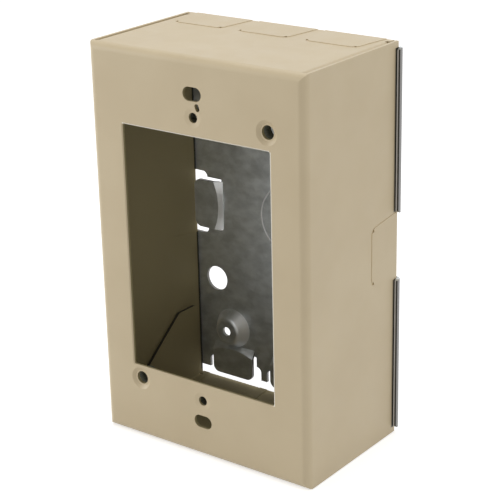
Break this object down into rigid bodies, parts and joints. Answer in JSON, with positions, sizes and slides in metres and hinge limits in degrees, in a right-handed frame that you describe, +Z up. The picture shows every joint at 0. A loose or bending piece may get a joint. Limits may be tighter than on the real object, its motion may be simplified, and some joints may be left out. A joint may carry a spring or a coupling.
{
  "type": "surface device box",
  "caption": "Surface-mounted steel device box: folded cover with a rectangular device opening and half-sheared twist-outs, on a galvanised base plate with raceway tongues.",
  "frame": {"origin": "middle of the footprint, level with the outside of the bottom wall's raised twist-outs", "axes": "+Z up along the box's height, -Y out of the face with the device opening, +Y towards the wall that the base plate is fixed to, +X to the right seen from the front"},
  "size_m": [0.0756, 0.0454, 0.1178],
  "materials": {
    "ivory_paint": "satin baked enamel",
    "zinc_sheet": "galvanised, dull"
  },
  "bodies": {
    "root": {"box_cover": "ivory_paint", "base_plate": "zinc_sheet"}
  },
  "joints": []
}
